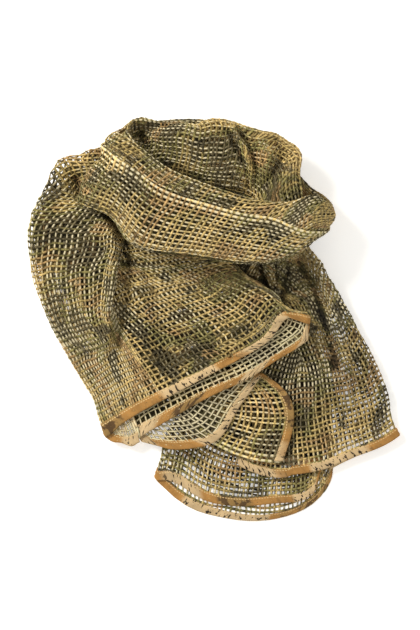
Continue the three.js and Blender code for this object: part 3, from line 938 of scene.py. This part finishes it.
# the whole net, cut into pieces by its length: tubes along both sets of yarns, which lie over and under
# each other in turn
def buildNet(p, material):
    grid, across, down, spreadAt, runAt = netGrid(p)
    grid = unevenGrid(grid, p)
    normals = gridNormals(grid)
    rows, columns = grid.shape[:2]
    odd = (np.add.outer(np.arange(rows), np.arange(columns)) % 2) * 2 - 1
    weave = normals * (odd * p["weave"])[..., None]
    inLeft = (down < 0.5)[:, None]
    under = inLeft * (runAt == p["underRun"]) * (spreadAt < p["underTo"])[:, None]
    # covered crossings get painted shade and wider yarns, and lose their bare cream
    covered = np.maximum(coveredNet(grid, p), under)
    print("covered share of the crossings", covered.mean().round(2))
    atEdge = [0, 1, columns - 2, columns - 1]
    dash = bareDashes(inLeft, runAt, atEdge, bareYarn) * (1 - covered)
    longWide, crossWide = yarnWidths(down, spreadAt, covered, atEdge, p)
    longTone, crossTone = yarnTones(down, runAt, covered, atEdge, bareYarn)
    bareUp, bareDown = hemBare(inLeft, spreadAt, runAt, bareYarn)
    none = np.zeros((rows, columns))
    bare = np.stack([bareUp, none, bareDown, none], axis=-1) * (1 - covered[..., None])
    longValues = {"bare": bare, "dash": fourTimes(dash), "tone": fourTimes(longTone)}
    crossValues = {"bare": bare, "dash": fourTimes(none), "tone": fourTimes(crossTone)}
    uvGrid = np.stack(np.meshgrid(across * p["width"] * mm, down * veilLength * mm), axis=-1)
    cuts = np.linspace(0, rows - 1, len(p["pieces"]) + 1).astype(int)
    for name, low, high in zip(p["pieces"], cuts[:-1], cuts[1:]):
        long = np.s_[low:high + 1]
        cross = np.s_[low:high + (high == rows - 1)]  # the next piece begins with the last row
        longPoints, longFaces = yarnTubes(
            (grid + weave)[long].swapaxes(0, 1), normals[long].swapaxes(0, 1),
            longWide[long].T * p["lengthYarn"][0], p["lengthYarn"][1])
        crossPoints, crossFaces = yarnTubes(
            (grid - weave)[cross], normals[cross], crossWide[cross] * p["crossYarn"][0], p["crossYarn"][1])
        points = np.concatenate([longPoints, crossPoints])
        points[:, 2] = np.maximum(points[:, 2], 0)  # wide yarns lie flat on the bench
        faces = np.concatenate([longFaces, crossFaces + len(longPoints)])
        values = {}
        for key in longValues:
            onLong = longValues[key][long].swapaxes(0, 1)
            values[key] = np.concatenate([onLong.ravel(), crossValues[key][cross].ravel()])
        longUv = uvGrid[long].swapaxes(0, 1).reshape(-1, 2)
        uv = np.repeat(np.concatenate([longUv, uvGrid[cross].reshape(-1, 2)]), 4, axis=0)
        piece = makePiece(name, points, faces, uv, values, material)
        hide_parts("net_veil")
        print(name, "triangles", 2 * len(faces))


buildNet(net, netMaterial(camouflage))

tape = {
    "width": 10.2,
    "thickness": 2.0,
    "rim": 0.3,  # half thickness at the tape's two edges
    "across": 9,  # points across the tape
    "steps": 460,  # points along it
    "pucker": 0.175,  # small waves that the stitches draw, their length and their soft patches
    "puckerRun": 9,
    "puckerPatches": 60,
    "stitchPitch": 3.4,
    "stitchShare": 0.62,
    "stitchAt": 0.8,  # place of the stitches across the tape
    "stitchWide": 0.9,
    "rough": 0.85,
    "shine": 0.2,
    "coyote": (176, 128, 68),
    "sand": (206, 176, 130),
    "brown": (158, 124, 72),
    "blotch": (96, 72, 44),
    "fleck": (52, 42, 30),
    "thread": (222, 188, 130),
    "slow": {"scale": 9, "detail": 2, "at": (0.42, 0), "stretch": (1, 0.35)},  # noises, in waves to a metre
    "blotches": {"scale": 110, "detail": 2, "at": (3.1, 0)},
    "flecks": {"scale": 150, "detail": 1, "at": (5.7, 0), "stretch": (2.2, 1)},
    "grime": {"scale": 60, "detail": 4, "at": (9.4, 0)},
    "nap": {"scale": 900, "detail": 2, "at": (1.3, 0)},
    "weave": {"Scale": 330, "Distortion": 1},
    "tones": [(0.37, "brown"), (0.42, "coyote"), (0.49, "coyote"), (0.52, "sand")],
    "blotchFrom": [(0.52, 0), (0.58, 1)],
    "onBrown": [(0.38, 1), (0.42, 0)],
    "fleckFrom": [(0.62, 0), (0.66, 1)],
    "onSand": [(0.48, 0.12), (0.52, 1)],
    "grimeShade": [(0.3, 0.8), (0.7, 1.12)],
    "weaveHigh": 0.5,  # shares of the relief
    "stitchHigh": 0.8,
    "napHigh": 0.6,
    "bump": {"Strength": 0.6, "Distance": 0.0004},
}


# woven tape: a slow noise along it chooses coyote, sand or brown; dark flecks that run across it lie on the
# sand, brown blotches on the brown, and stitches along its inner edge
def tapeMaterial(p):
    material, tree, place = startCloth("bindingTape", p)
    slow = addNoise(place, **p["slow"])
    base = addRamp(slow, [(at, colour(*p[tone])) for at, tone in p["tones"]])
    blotches = addRamp(addNoise(place, **p["blotches"]), p["blotchFrom"])
    blotches = addMix("MULTIPLY", blotches, addRamp(slow, p["onBrown"]))
    base = addMix("MIX", base, colour(*p["blotch"]), blotches)
    flecks = addRamp(addNoise(place, **p["flecks"]), p["fleckFrom"])
    flecks = addMix("MULTIPLY", flecks, addRamp(slow, p["onSand"]))
    base = addMix("MIX", base, colour(*p["fleck"]), flecks)
    base = addMix("MULTIPLY", base, addRamp(addNoise(place, **p["grime"]), p["grimeShade"]))
    parts = addNode(tree, "ShaderNodeSeparateXYZ", {"Vector": place}).outputs
    phase = addMaths("FRACT", addMaths("MULTIPLY", parts["X"], 1 / (p["stitchPitch"] * mm)))
    aside = addMaths("ABSOLUTE", addMaths("SUBTRACT", parts["Y"], p["stitchAt"] * p["width"] * mm))
    onLine = addMaths("LESS_THAN", aside, p["stitchWide"] * mm / 2)
    stitch = addMaths("MULTIPLY", addMaths("LESS_THAN", phase, p["stitchShare"]), onLine)
    base = addMix("MIX", base, colour(*p["thread"]), stitch)
    weave = addNode(tree, "ShaderNodeTexWave", {"Vector": place, **p["weave"]}, bands_direction="X")
    height = addMaths("MULTIPLY", weave.outputs["Fac"], p["weaveHigh"])
    height = addMaths("ADD", height, addMaths("MULTIPLY", stitch, p["stitchHigh"]))
    height = addMaths("ADD", height, addMaths("MULTIPLY", addNoise(place, **p["nap"]), p["napHigh"]))
    finishCloth(tree, base, height, p)
    return material


# a tape folded over one hem: the sheet's surface between the hem and the tape's inner edge, made as thick as
# a rounded profile, the root of 1 - (2q - 1)^4, carried along the hem and closed at both ends
def buildTape(name, node, hemAt, inward, p, material):
    q = np.linspace(0, 1, p["across"])
    sheet = joined(foldedRuns(hemAt + inward * p["width"] * q)[0])
    length = lengthAlong(sheet)
    sheet = pointsAt(sheet, length / length[:, -1:], np.linspace(0, 1, p["steps"])[None])
    tapeLength = lengthAlong(sheet)[0, -1]
    normal = gridNormals(sheet)
    half = mix(p["rim"], p["thickness"] / 2, (1 - (2 * q - 1) ** 4) ** 0.5)[:, None, None]
    along = np.linspace(0, tapeLength, p["steps"])
    wave = p["pucker"] * np.sin(2 * np.pi * along / p["puckerRun"])
    wave *= softNoise(1, p["steps"], 1, p["puckerPatches"])[0]
    sheet = sheet + normal * (wave[None] * np.sin(np.pi * q)[:, None])[..., None]
    rings = np.concatenate([sheet + normal * half, (sheet - normal * half)[::-1]]).swapaxes(0, 1)
    around = rings.shape[1]
    walls = tubeWalls(np.arange(p["steps"] - 1) * around, around)
    k = np.arange(p["across"] - 1)
    near = np.stack([k, k + 1, around - 2 - k, around - 1 - k], axis=-1)
    far = near[:, ::-1] + (p["steps"] - 1) * around
    faces = np.concatenate([walls, near, far])
    if inward < 0:
        faces = faces[:, ::-1]
    qAround = np.concatenate([q, q[::-1]])
    uv = np.stack(np.meshgrid(along * mm, qAround * p["width"] * mm, indexing="ij"), axis=-1)
    piece = makePiece(name, rings.reshape(-1, 3), faces, uv.reshape(-1, 2), {}, material)
    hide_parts(node)
    print(name, "triangles", 2 * len(faces), "length", tapeLength.round())


tapeCloth = tapeMaterial(tape)
buildTape("tape_left", "hem_binding_left", 0.0, 1, tape, tapeCloth)
buildTape("tape_right", "hem_binding_right", veilLength, -1, tape, tapeCloth)
